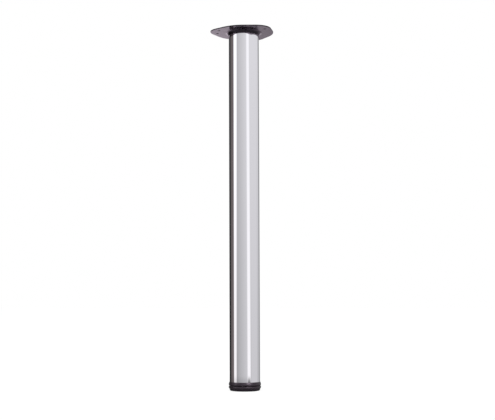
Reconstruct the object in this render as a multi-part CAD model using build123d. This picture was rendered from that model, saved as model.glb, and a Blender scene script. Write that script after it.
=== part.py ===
from build123d import *
import math
import os

# A round table leg: a chromed tube under a three-lobed mounting plate, with a foot that
# screws out to level it. Millimetres, +Z up. The origin is on the tube's axis, on the
# floor that the foot stands on, and the plate's top face is at the leg's full height.

# Leg and tube
leg_height = 710.0
tube_diameter = 60.0
tube_wall = 1.2
tube_edge_chamfer = 0.3

# Mounting plate: a round web with lobes around it, wrapped by their common tangents
plate_thickness = 2.0
web_radius = 59.0
lobe_count = 3
lobe_first_angle = 90.0
lobe_projection = 8.0
lobe_radius = 31.0
plate_edge_round = 0.5

# Wood-screw holes: a pair in each lobe
screw_hole_diameter = 5.0
screw_edge_distance = 15.5
screw_pair_spacing = 22.5

# Hub drawn down from the plate: a flare that leans in to the tube's end, a shoulder and a spigot
hub_flare_radius = 7.0
hub_flare_height = 6.2
hub_flare_lean = 3.6
hub_shoulder_round = 0.6
hub_spigot_length = 18.2
hub_spigot_clearance = 0.15
hub_floor_round = 3.0

# Centre bolt with its washer
bolt_diameter = 8.0
bolt_head_width = 13.0
bolt_head_height = 5.3
bolt_end_length = 4.0
bolt_end_chamfer = 1.0
bolt_hole_clearance = 0.4
bolt_thread_clearance = 0.05
washer_diameter = 24.0
washer_thickness = 2.0

# Cup in the tube's upper end, with its nut
cup_thickness = 2.5
cup_height = 16.0
cup_bend_round = 4.0
cup_clearance = 0.05
cup_gap = 0.3
weld_nut_width = 13.0
weld_nut_height = 6.5
nut_corner_chamfer = 0.6

# Foot socket: a moulded plug with a flange, grip ribs, and a boss on web ribs
flange_overhang = 1.4
flange_height = 7.0
flange_edge_round = 1.5
plug_length = 30.0
plug_wall = 2.4
plug_floor = 3.0
plug_lead_chamfer = 1.5
plug_clearance = 0.4
grip_rib_count = 12
grip_rib_width = 2.0
grip_rib_clearance = 0.05
boss_wall = 3.4
web_rib_count = 6
web_rib_thickness = 2.0
web_rib_drop = 4.0

# Nut in the boss, and the thread of the foot
thread_diameter = 10.0
thread_clearance = 0.05
thread_hole_clearance = 0.4
socket_nut_width = 17.0
socket_nut_height = 8.0
nut_pocket_clearance = 0.1
nut_pocket_drop = 3.0

# Foot stud and the foot disc moulded on its head
adjustment = 20.0
stud_spare = 2.0
stud_end_chamfer = 1.2
stud_head_diameter = 24.0
stud_head_height = 3.0
stud_head_round = 0.5
stud_head_clearance = 0.05
foot_gap = 0.6
disc_height = 9.4
disc_overhang = 1.4
disc_belt_height = 3.8
disc_belt_round = 1.5
disc_step = 1.1
disc_step_height = 1.0
disc_step_round = 0.6
disc_taper = 1.5
disc_floor_round = 1.8
disc_floor_rim = 8.8
disc_recess_depth = 1.0
disc_head_floor = 2.2

# Heights that follow from the sizes above
plate_bottom = leg_height - plate_thickness
tube_top = plate_bottom - hub_flare_height
spigot_bottom = tube_top - hub_spigot_length
washer_bottom = spigot_bottom + plate_thickness
bolt_seat = washer_bottom + washer_thickness
cup_top = spigot_bottom - cup_gap
cup_floor = cup_top - cup_thickness
flange_bottom = disc_height + foot_gap
tube_bottom = flange_bottom + flange_height
plug_top = tube_bottom + plug_length
socket_nut_top = plug_top - nut_pocket_drop
socket_nut_bottom = socket_nut_top - socket_nut_height
stud_head_bottom = disc_recess_depth + disc_head_floor + stud_head_clearance
stud_head_top = stud_head_bottom + stud_head_height
stud_top = socket_nut_top + adjustment + stud_spare

# Radii that follow from the sizes above
lobe_reach = web_radius + lobe_projection
screw_row_distance = lobe_reach - screw_edge_distance
tube_radius = tube_diameter / 2
tube_bore = tube_radius - tube_wall
hub_slope = hub_flare_lean / hub_flare_height
hub_turn = math.pi / 2 - math.atan(hub_slope)
hub_corner = tube_radius + hub_flare_lean
hub_edge = hub_corner + hub_flare_radius * math.tan(hub_turn / 2) + plate_thickness
spigot_radius = tube_bore - hub_spigot_clearance
bolt_hole = bolt_diameter / 2 + bolt_hole_clearance
cup_radius = tube_bore - cup_clearance
flange_radius = tube_radius + flange_overhang
plug_radius = tube_bore - plug_clearance
thread_radius = thread_diameter / 2
thread_bore = thread_radius + thread_clearance
thread_hole = thread_radius + thread_hole_clearance
stud_head_radius = stud_head_diameter / 2
nut_pocket_width = socket_nut_width + 2 * nut_pocket_clearance
boss_radius = nut_pocket_width / math.sqrt(3) + boss_wall
disc_radius = tube_radius + disc_overhang
disc_neck_radius = disc_radius - disc_step
disc_floor_radius = disc_neck_radius - disc_taper
disc_recess_radius = disc_floor_radius - disc_floor_rim


def turned(*corners):
    """A solid turned about Z, from its profile's corners as (radius, height, rounding)."""
    points = [(radius, height) for radius, height, rounding in corners]
    rounds = [rounding for radius, height, rounding in corners]
    outline = FilletPolyline(*points, radius=rounds, close=True)
    return revolve(Plane.XZ * make_face(outline), Axis.Z)


def rod(radius, bottom, top):
    """A plain cylinder on the leg's axis, between two heights."""
    return extrude(Pos(0, 0, bottom) * Circle(radius), top - bottom)


def hexagon(across_flats, bottom, top):
    """A hexagonal prism on the leg's axis, between two heights."""
    outline = RegularPolygon(across_flats / 2, 6, major_radius=False)
    return extrude(Pos(0, 0, bottom) * outline, top - bottom)


def hexagon_cone(across_flats, bottom, top, chamfer_bottom, chamfer_top):
    """The turned blank of a nut or a bolt head, which takes the hexagon's corners off."""
    corner = across_flats / math.sqrt(3)
    flat = across_flats / 2
    drop = (corner - flat) * math.tan(math.radians(30)) + nut_corner_chamfer
    rise = drop if chamfer_bottom else 0
    fall = drop if chamfer_top else 0
    profile = [(0, bottom)]
    profile += [(flat - nut_corner_chamfer, bottom)] if chamfer_bottom else []
    profile += [(corner, bottom + rise), (corner, top - fall)]
    profile += [(flat - nut_corner_chamfer, top)] if chamfer_top else []
    profile += [(0, top)]
    return revolve(Plane.XZ * make_face(Polyline(*profile, close=True)), Axis.Z)


def polar_points(count, first_angle, along, across=0.0):
    """Places repeated about the axis: so far along each arm, and so far across it."""
    places = []
    for i in range(count):
        angle = math.radians(first_angle + 360 * i / count)
        x = along * math.cos(angle) - across * math.sin(angle)
        y = along * math.sin(angle) + across * math.cos(angle)
        places.append((x, y))
    return places


def plate_sheet():
    """The plate's flat sheet with the lobes' outline and rounded rims."""
    circles = [Edge.make_circle(web_radius)]
    for x, y in polar_points(lobe_count, lobe_first_angle, lobe_reach - lobe_radius):
        circles.append(Edge.make_circle(lobe_radius, Plane((x, y, 0))))
    sheet = extrude(Pos(0, 0, plate_bottom) * make_hull(circles), plate_thickness)
    rims = sheet.edges().group_by(Axis.Z)
    return fillet(rims[0] + rims[-1], plate_edge_round)


def drawn_hub():
    """The hub, drawn from the same sheet, from just outside the flare to its floor."""
    inner_flare = hub_flare_radius + plate_thickness
    inner_round = max(hub_floor_round - plate_thickness, 0.2)
    spigot_inside = spigot_radius - plate_thickness
    shoulder_top = tube_top + plate_thickness
    level_wall = plate_thickness / math.sin(hub_turn)
    shoulder_inside = tube_radius + hub_slope * plate_thickness - level_wall
    corner_inside = hub_corner + hub_slope * plate_thickness - level_wall
    return turned(
        (hub_edge, plate_bottom, 0),
        (hub_corner, plate_bottom, hub_flare_radius),
        (tube_radius, tube_top, hub_shoulder_round),
        (spigot_radius, tube_top, 0),
        (spigot_radius, spigot_bottom, hub_floor_round),
        (bolt_hole, spigot_bottom, 0),
        (bolt_hole, washer_bottom, 0),
        (spigot_inside, washer_bottom, inner_round),
        (spigot_inside, shoulder_top, hub_shoulder_round),
        (shoulder_inside, shoulder_top, 0),
        (corner_inside, leg_height, inner_flare),
        (hub_edge, leg_height, 0),
    )


def mounting_plate():
    """The pressed plate: its sheet, its drawn hub and its screw holes in one piece."""
    plate = plate_sheet() - rod(hub_edge, plate_bottom - 1, leg_height + 1)
    plate += drawn_hub()
    for side in (-1, 1):
        across = side * screw_pair_spacing / 2
        for x, y in polar_points(lobe_count, lobe_first_angle, screw_row_distance, across):
            hole = rod(screw_hole_diameter / 2, plate_bottom - 1, leg_height + 1)
            plate -= Pos(x, y, 0) * hole
    return plate


def tube():
    """The chromed tube, with the burrs taken off the rims at both ends."""
    wall = rod(tube_radius, tube_bottom, tube_top) - rod(tube_bore, tube_bottom, tube_top)
    rims = wall.edges().group_by(Axis.Z)
    return chamfer(rims[0] + rims[-1], tube_edge_chamfer)


def centre_bolt():
    """The hexagon bolt that clamps the tube's cup to the hub's floor."""
    head_top = bolt_seat + bolt_head_height
    head = hexagon(bolt_head_width, bolt_seat, head_top)
    head &= hexagon_cone(bolt_head_width, bolt_seat, head_top, False, True)
    end = cup_floor - weld_nut_height - bolt_end_length
    shank = rod(bolt_diameter / 2, end, bolt_seat)
    shank = chamfer(shank.edges().group_by(Axis.Z)[0], bolt_end_chamfer)
    return head + shank


def bolt_washer():
    """The washer between the bolt's head and the hub's floor."""
    blank = rod(washer_diameter / 2, washer_bottom, bolt_seat)
    return blank - rod(bolt_hole, washer_bottom, bolt_seat)


def tube_cup():
    """The pressed cup in the tube's upper end: a floor with its rim turned down."""
    inside = cup_radius - cup_thickness
    inner_round = max(cup_bend_round - cup_thickness, 0.2)
    return turned(
        (bolt_hole, cup_top, 0),
        (cup_radius, cup_top, cup_bend_round),
        (cup_radius, cup_top - cup_height, 0),
        (inside, cup_top - cup_height, 0),
        (inside, cup_floor, inner_round),
        (bolt_hole, cup_floor, 0),
    )


def weld_nut():
    """The nut under the cup's floor that takes the centre bolt."""
    bottom = cup_floor - weld_nut_height
    nut = hexagon(weld_nut_width, bottom, cup_floor)
    nut &= hexagon_cone(weld_nut_width, bottom, cup_floor, True, False)
    return nut - rod(bolt_diameter / 2 + bolt_thread_clearance, bottom, cup_floor)


def foot_socket():
    """The moulded plug: flange, wall with grip ribs, and the nut's boss on web ribs."""
    plug_inside = plug_radius - plug_wall
    floor_top = flange_bottom + plug_floor
    body = turned(
        (thread_hole, flange_bottom, 0),
        (flange_radius, flange_bottom, flange_edge_round),
        (flange_radius, tube_bottom, flange_edge_round),
        (plug_radius, tube_bottom, 0),
        (plug_radius, plug_top - plug_lead_chamfer, 0),
        (plug_radius - plug_lead_chamfer, plug_top, 0),
        (plug_inside, plug_top, 0),
        (plug_inside, floor_top, 0),
        (boss_radius, floor_top, 0),
        (boss_radius, plug_top, 0),
        (thread_hole, plug_top, 0),
    )

    # Six webs carry the boss from the wall
    web_middle = (boss_radius + plug_inside) / 2
    web_top = plug_top - web_rib_drop
    web_length = plug_inside - boss_radius + plug_wall / 2
    web = Pos(web_middle, 0, floor_top) * Rectangle(web_length, web_rib_thickness)
    web = extrude(web, web_top - floor_top)
    for i in range(web_rib_count):
        body += Rot(0, 0, 360 * i / web_rib_count) * web

    # Low ribs on the wall grip the tube, and slope off before the plug's top
    rib_reach = tube_bore - grip_rib_clearance
    rib_root = plug_radius - plug_wall / 2
    rib_top = plug_top - plug_lead_chamfer
    rib_profile = Polyline(
        (rib_root, tube_bottom),
        (rib_reach, tube_bottom),
        (rib_reach, rib_top - 3 * plug_lead_chamfer),
        (rib_root, rib_top),
        close=True,
    )
    rib = extrude(Plane.XZ * make_face(rib_profile), grip_rib_width / 2, both=True)
    for i in range(grip_rib_count):
        body += Rot(0, 0, 360 * (i + 0.5) / grip_rib_count) * rib

    return body - hexagon(nut_pocket_width, socket_nut_bottom, plug_top)


def socket_nut():
    """The hexagon nut in the boss that the foot's thread runs in."""
    nut = hexagon(socket_nut_width, socket_nut_bottom, socket_nut_top)
    nut &= hexagon_cone(socket_nut_width, socket_nut_bottom, socket_nut_top, True, True)
    return nut - rod(thread_bore, socket_nut_bottom, socket_nut_top)


def foot_stud():
    """The foot's threaded stud, with the flat round head that the disc is moulded on."""
    return turned(
        (0, stud_head_bottom, 0),
        (stud_head_radius, stud_head_bottom, stud_head_round),
        (stud_head_radius, stud_head_top, stud_head_round),
        (thread_radius, stud_head_top, 0),
        (thread_radius, stud_top - stud_end_chamfer, 0),
        (thread_radius - stud_end_chamfer, stud_top, 0),
        (0, stud_top, 0),
    )


def foot_disc():
    """The moulded disc: a rounded belt to grip, a step, and a taper down to the floor."""
    belt_bottom = disc_height - disc_belt_height
    pocket = stud_head_radius + stud_head_clearance
    pocket_bottom = disc_recess_depth + disc_head_floor
    pocket_top = stud_head_top + stud_head_clearance
    return turned(
        (0, disc_recess_depth, 0),
        (disc_recess_radius, disc_recess_depth, 0),
        (disc_recess_radius, 0, 0),
        (disc_floor_radius, 0, disc_floor_round),
        (disc_neck_radius, belt_bottom - disc_step_height, disc_step_round),
        (disc_radius, belt_bottom, disc_step_round),
        (disc_radius, disc_height, disc_belt_round),
        (thread_bore, disc_height, 0),
        (thread_bore, pocket_top, 0),
        (pocket, pocket_top, 0),
        (pocket, pocket_bottom, 0),
        (0, pocket_bottom, 0),
    )


pieces = {
    "mounting_plate": mounting_plate(),
    "tube": tube(),
    "centre_bolt": centre_bolt(),
    "bolt_washer": bolt_washer(),
    "tube_cup": tube_cup(),
    "weld_nut": weld_nut(),
    "foot_socket": foot_socket(),
    "socket_nut": socket_nut(),
    "foot_stud": foot_stud(),
    "foot_disc": foot_disc(),
}

os.makedirs("parts", exist_ok=True)
for name, piece in pieces.items():
    export_step(piece, f"parts/{name}.step")
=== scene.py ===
"""The looks of a round chromed table leg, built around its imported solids.

The tube, the mounting plate, the foot and the fastenings are made again here with finer
faces, at the same sizes and places as their solids. The pieces' classes give lengths in
millimetres and angles in degrees, and the trees take them in metres and radians. The
studio's lengths are in metres, and its angles in degrees.
"""

from __future__ import annotations

import logging
import math
from collections.abc import Iterable, Sequence
from dataclasses import dataclass
from enum import Enum

import bmesh
import bpy
from mathutils import Matrix, Vector


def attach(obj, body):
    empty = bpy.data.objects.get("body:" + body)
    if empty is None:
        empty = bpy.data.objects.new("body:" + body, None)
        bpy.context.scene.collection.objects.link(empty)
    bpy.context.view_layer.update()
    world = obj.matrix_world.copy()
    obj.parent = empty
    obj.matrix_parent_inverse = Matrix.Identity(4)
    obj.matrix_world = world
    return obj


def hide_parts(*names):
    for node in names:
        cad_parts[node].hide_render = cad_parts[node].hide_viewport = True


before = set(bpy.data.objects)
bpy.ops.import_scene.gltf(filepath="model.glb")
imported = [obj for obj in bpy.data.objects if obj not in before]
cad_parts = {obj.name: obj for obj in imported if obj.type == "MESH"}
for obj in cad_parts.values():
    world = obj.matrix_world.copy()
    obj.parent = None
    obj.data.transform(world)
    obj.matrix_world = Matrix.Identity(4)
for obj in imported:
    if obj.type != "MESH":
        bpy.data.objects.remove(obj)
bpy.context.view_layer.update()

log = logging.getLogger("table_leg")

MM = 0.001
WELD = 1e-6
ARC_STEP = math.radians(9)
SHARP_ANGLE = math.radians(32)
RIM_ANGLE = math.radians(60)
HEAD_EDGE_ANGLE = math.radians(50)
HEAD_CONE_ANGLE = math.radians(30)
ROUND_SEGMENTS = 192
TUBE_SEGMENTS = 256
HOLE_SEGMENTS = 48
THREAD_SEGMENTS = 96
THREAD_ROWS = 10
LOBE_STEPS = 40
WEB_STEPS = 28

Socket = bpy.types.NodeSocket
Inputs = dict[str | int, object]
Pair = tuple[float, float]
Triple = tuple[float, float, float]
Corner = Triple
Color = Triple


class Body(Enum):
    """The bodies that a piece can ride on."""

    LEG = "leg"
    STUD = "stud"
    FOOT = "foot"


class Slot(Enum):
    """The record's material slots."""

    CHROME = "chrome"
    PLATE_COATING = "plate_coating"
    BLACK_PLASTIC = "black_plastic"
    ZINC_STEEL = "zinc_steel"
    BARE_STEEL = "bare_steel"


# Nodes


class Value:
    """A number that a socket carries, so that sums on it are written as Python."""

    def __init__(self, nodes: Nodes, socket: Socket) -> None:
        """Keeps the socket, and the nodes that further sums go to."""
        self.nodes = nodes
        self.socket = socket

    def math(self, operation: str, *others: Value | float, clamp: bool = False) -> Value:
        """Adds a Math node, with this number as its first input.

        Args:
            operation: The Math node's operation.
            others: Its other inputs, in order.
            clamp: Whether the result is held between 0 and 1.

        Returns:
            The node's result.
        """
        inputs = dict(enumerate((self, *others)))
        settings = {"operation": operation, "use_clamp": clamp}
        return Value(self.nodes, self.nodes.out("ShaderNodeMath", inputs, **settings))

    def __add__(self, other: Value | float) -> Value:
        """Adds."""
        return self.math("ADD", other)

    __radd__ = __add__

    def __sub__(self, other: Value | float) -> Value:
        """Subtracts."""
        return self.math("SUBTRACT", other)

    def __rsub__(self, other: float) -> Value:
        """Subtracts from a number."""
        return self * -1 + other

    def __mul__(self, other: Value | float) -> Value:
        """Multiplies."""
        return self.math("MULTIPLY", other)

    __rmul__ = __mul__

    def __truediv__(self, other: Value | float) -> Value:
        """Divides."""
        return self.math("DIVIDE", other)

    def at_least(self, other: Value | float) -> Value:
        """Raises it to another number where it is lower."""
        return self.math("MAXIMUM", other)

    def at_most(self, other: Value | float) -> Value:
        """Lowers it to another number where it is higher."""
        return self.math("MINIMUM", other)

    def clamped(self) -> Value:
        """Holds it between 0 and 1."""
        return self.math("ADD", 0.0, clamp=True)

    def ramp(self, low: float, high: float) -> Value:
        """Rises evenly from 0 at low to 1 at high."""
        return ((self - low) / (high - low)).clamped()

    def between(self, low: float, high: float) -> Value:
        """Rises smoothly from 0 at low to 1 at high, or falls where low is above high."""
        share = (self - low).math("DIVIDE", high - low, clamp=True)
        return share * share * (3 - 2 * share)


class Nodes:
    """Adds nodes to one tree and links them."""

    FIRST_COLOR = 6
    SECOND_COLOR = 7
    MIXED_COLOR = 2

    def __init__(self, tree: bpy.types.NodeTree) -> None:
        """Empties the tree."""
        self.tree = tree
        tree.nodes.clear()

    def add(self, kind: str, inputs: Inputs | None = None, **settings: object) -> bpy.types.Node:
        """Adds one node.

        Args:
            kind: The node's type.
            inputs: What its sockets take: numbers, colours, or sockets to link from. A
                list links all that it holds to one socket.
            settings: Its own settings, set first. The stops are a ramp's (place, colour).

        Returns:
            The new node.
        """
        node = self.tree.nodes.new(kind)
        for name, setting in settings.items():
            if name == "stops":
                self.set_stops(node.color_ramp, setting)
            else:
                setattr(node, name, setting)
        for key, given in (inputs or {}).items():
            for value in given if isinstance(given, list) else [given]:
                source = value.socket if isinstance(value, Value) else value
                if isinstance(source, Socket):
                    self.tree.links.new(source, node.inputs[key])
                else:
                    node.inputs[key].default_value = source
        return node

    def out(self, kind: str, inputs: Inputs | None = None, **settings: object) -> Socket:
        """Adds one node and takes its first output."""
        return self.add(kind, inputs, **settings).outputs[0]

    @staticmethod
    def set_stops(ramp: bpy.types.ColorRamp, stops: Sequence[tuple[float, Color]]) -> None:
        """Gives a ramp its stops, as (place, colour).

        Args:
            ramp: The ramp, whose own stops go.
            stops: Its new stops, as (place, colour).
        """
        while len(ramp.elements) > 1:
            ramp.elements.remove(ramp.elements[-1])
        for i, (place, color) in enumerate(stops):
            stop = ramp.elements[0] if i == 0 else ramp.elements.new(place)
            stop.position = place
            stop.color = (*color, 1)

    def value(self, socket: Socket) -> Value:
        """Wraps a socket so that it can be used in sums."""
        return Value(self, socket)

    def noise(self, place: Socket, scale: float, detail: float = 2.0) -> Value:
        """Adds a noise pattern.

        Args:
            place: The coordinates it is read at.
            scale: How many spots it has to the metre.
            detail: How many finer layers it has.

        Returns:
            The pattern, from 0 to 1.
        """
        inputs = {"Vector": place, "Scale": scale, "Detail": detail}
        return self.value(self.out("ShaderNodeTexNoise", inputs))

    def stretched(self, scale: Triple) -> Socket:
        """Adds the piece's own coordinates, scaled along each axis."""
        place = self.add("ShaderNodeTexCoord").outputs["Object"]
        return self.out("ShaderNodeMapping", {"Vector": place, "Scale": scale})

    def vector(self, operation: str, *vectors: object) -> bpy.types.Node:
        """Adds a Vector Math node."""
        inputs = dict(enumerate(vectors))
        return self.add("ShaderNodeVectorMath", inputs, operation=operation)

    def reach(self, place: Socket) -> Value:
        """Measures how far a place is from the leg's axis."""
        flat = self.vector("MULTIPLY", place, (1, 1, 0)).outputs[0]
        return self.value(self.vector("LENGTH", flat).outputs["Value"])

    def mix(self, share: Value | Socket, first: object, second: object) -> Socket:
        """Mixes two colours.

        Args:
            share: How much of the second colour there is.
            first: The first colour, as a colour, a grey level or a socket.
            second: The second colour, in the same ways.

        Returns:
            The mixed colour's socket.
        """
        inputs: Inputs = {0: share}
        for key, color in ((self.FIRST_COLOR, first), (self.SECOND_COLOR, second)):
            if isinstance(color, float):
                color = (color, color, color)
            inputs[key] = (*color, 1) if isinstance(color, tuple) else color
        node = self.add("ShaderNodeMix", inputs, data_type="RGBA")
        return node.outputs[self.MIXED_COLOR]

    def mix_shaders(self, share: object, first: Socket, second: Socket) -> Socket:
        """Mixes two shaders, with the share that the second one has."""
        return self.out("ShaderNodeMixShader", {0: share, 1: first, 2: second})


# Finishes


@dataclass(frozen=True)
class Finish:
    """One finish: what its shader has all over, and what varies over the surface.

    The scales are in spots to the metre, and the grain's depth is in millimetres.
    """

    color: Color
    shade: Color
    roughness: Pair
    metallic: float
    patch_scale: float
    grain_scale: float
    grain_depth: float
    patch_detail: float = 3.0
    patch_edge: Pair = (0.3, 0.7)
    stretch: Triple = (1, 1, 1)
    tint: Color = (1, 1, 1)

    def material(self, name: str) -> bpy.types.Material:
        """Makes the material.

        Args:
            name: The material's name.

        Returns:
            A material whose colour, roughness and relief vary with the piece's own place.
        """
        material = bpy.data.materials.new(name)
        material.use_nodes = True
        nodes = Nodes(material.node_tree)
        place = nodes.stretched(self.stretch)
        patches = nodes.noise(place, self.patch_scale, self.patch_detail)
        cover = patches.between(*self.patch_edge)
        grain = nodes.noise(place, self.grain_scale)
        relief = {"Strength": 1.0, "Distance": self.grain_depth * MM, "Height": grain}
        smooth, rough = self.roughness
        shader = {
            "Base Color": nodes.mix(cover, self.color, self.shade),
            "Roughness": smooth + (rough - smooth) * cover,
            "Metallic": self.metallic,
            "Specular Tint": (*self.tint, 1),
            "Normal": nodes.out("ShaderNodeBump", relief),
        }
        surface = nodes.out("ShaderNodeBsdfPrincipled", shader)
        nodes.add("ShaderNodeOutputMaterial", {"Surface": surface})
        return material


class Paints:
    """Makes each finish's material once."""

    FINISHES = {
        Slot.CHROME: Finish(
            color=(0.9, 0.89, 0.94),
            shade=(0.88, 0.87, 0.92),
            roughness=(0.025, 0.05),
            metallic=1.0,
            patch_scale=9.0,
            grain_scale=34.0,
            grain_depth=0.02,
            stretch=(1, 1, 0.12),
        ),
        Slot.PLATE_COATING: Finish(
            color=(0.012, 0.009, 0.014),
            shade=(0.017, 0.013, 0.019),
            roughness=(0.14, 0.2),
            metallic=0.8,
            patch_scale=60.0,
            grain_scale=900.0,
            grain_depth=0.02,
            tint=(1.0, 0.89, 1.0),
        ),
        Slot.BLACK_PLASTIC: Finish(
            color=(0.014, 0.011, 0.015),
            shade=(0.021, 0.017, 0.022),
            roughness=(0.26, 0.4),
            metallic=0.0,
            patch_scale=90.0,
            grain_scale=2600.0,
            grain_depth=0.02,
            tint=(1.0, 0.84, 1.0),
        ),
        Slot.ZINC_STEEL: Finish(
            color=(0.62, 0.62, 0.6),
            shade=(0.5, 0.51, 0.52),
            roughness=(0.22, 0.42),
            metallic=1.0,
            patch_scale=260.0,
            grain_scale=1800.0,
            grain_depth=0.012,
        ),
        Slot.BARE_STEEL: Finish(
            color=(0.45, 0.44, 0.43),
            shade=(0.3, 0.28, 0.27),
            roughness=(0.3, 0.55),
            metallic=1.0,
            patch_scale=120.0,
            grain_scale=1500.0,
            grain_depth=0.02,
        ),
    }

    def __init__(self) -> None:
        """Makes the materials."""
        finishes = self.FINISHES.items()
        self.materials = {slot: finish.material(slot.value) for slot, finish in finishes}

    def __getitem__(self, slot: Slot) -> bpy.types.Material:
        """Finds a slot's material."""
        return self.materials[slot]


# Meshes and the trees that make them


def metres(sizes: dict[str, float]) -> dict[str, float]:
    """Turns named lengths in millimetres into metres."""
    return {name: size * MM for name, size in sizes.items()}


def arc(centre: Pair, radius: float, start: float, end: float, steps: int) -> list[Pair]:
    """Draws an arc.

    Args:
        centre: Its centre, in millimetres.
        radius: Its radius, in millimetres.
        start: The angle that it starts at, in radians.
        end: The angle that it ends at.
        steps: How many steps it is drawn in.

    Returns:
        Its points, both ends included, in metres.
    """
    turns = (start + (end - start) * step / steps for step in range(steps + 1))
    x, y = centre
    return [
        ((x + radius * math.cos(turn)) * MM, (y + radius * math.sin(turn)) * MM) for turn in turns
    ]


def rounded(corners: Sequence[Corner], closed: bool) -> list[Pair]:
    """Rounds the corners of a profile.

    Args:
        corners: The corners, as (radius, height, rounding) in millimetres.
        closed: Whether the last corner joins the first.

    Returns:
        The profile's points, as (radius, height) in metres.
    """
    points: list[Pair] = []
    count = len(corners)
    for i, (radius, height, rounding) in enumerate(corners):
        corner = Vector((radius, height))
        if rounding == 0 or (not closed and i in (0, count - 1)):
            points.append(tuple(corner * MM))
            continue
        before = (Vector(corners[i - 1][:2]) - corner).normalized()
        after = (Vector(corners[(i + 1) % count][:2]) - corner).normalized()
        half = before.angle(after) / 2
        middle = (before + after).normalized()
        centre = corner + middle * rounding / math.sin(half)
        start = corner + before * rounding / math.tan(half) - centre
        end = corner + after * rounding / math.tan(half) - centre
        turn = start.angle_signed(end)
        steps = max(2, math.ceil(abs(turn) / ARC_STEP))
        for step in range(steps + 1):
            spoke = Matrix.Rotation(-turn * step / steps, 2) @ start
            points.append(tuple((centre + spoke) * MM))
    return points


def line_mesh(points: Sequence[Pair], closed: bool) -> bpy.types.Mesh:
    """Makes a line of edges through points.

    Args:
        points: The points' two coordinates, in metres.
        closed: Whether the last point joins the first.

    Returns:
        A mesh of edges only.
    """
    count = len(points)
    edges = [(i, (i + 1) % count) for i in range(count if closed else count - 1)]
    mesh = bpy.data.meshes.new("line")
    mesh.from_pydata([(x, y, 0.0) for x, y in points], edges, [])
    return mesh


def plain_mesh(carrier: bpy.types.Object) -> bpy.types.Mesh:
    """Turns an object with modifiers into a plain mesh, and removes the object.

    Args:
        carrier: The object, not yet in the scene.

    Returns:
        The mesh that its modifiers make.
    """
    bpy.context.scene.collection.objects.link(carrier)
    graph = bpy.context.evaluated_depsgraph_get()
    mesh = bpy.data.meshes.new_from_object(carrier.evaluated_get(graph), depsgraph=graph)
    carrier.modifiers.clear()
    bpy.data.objects.remove(carrier)
    return mesh


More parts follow.
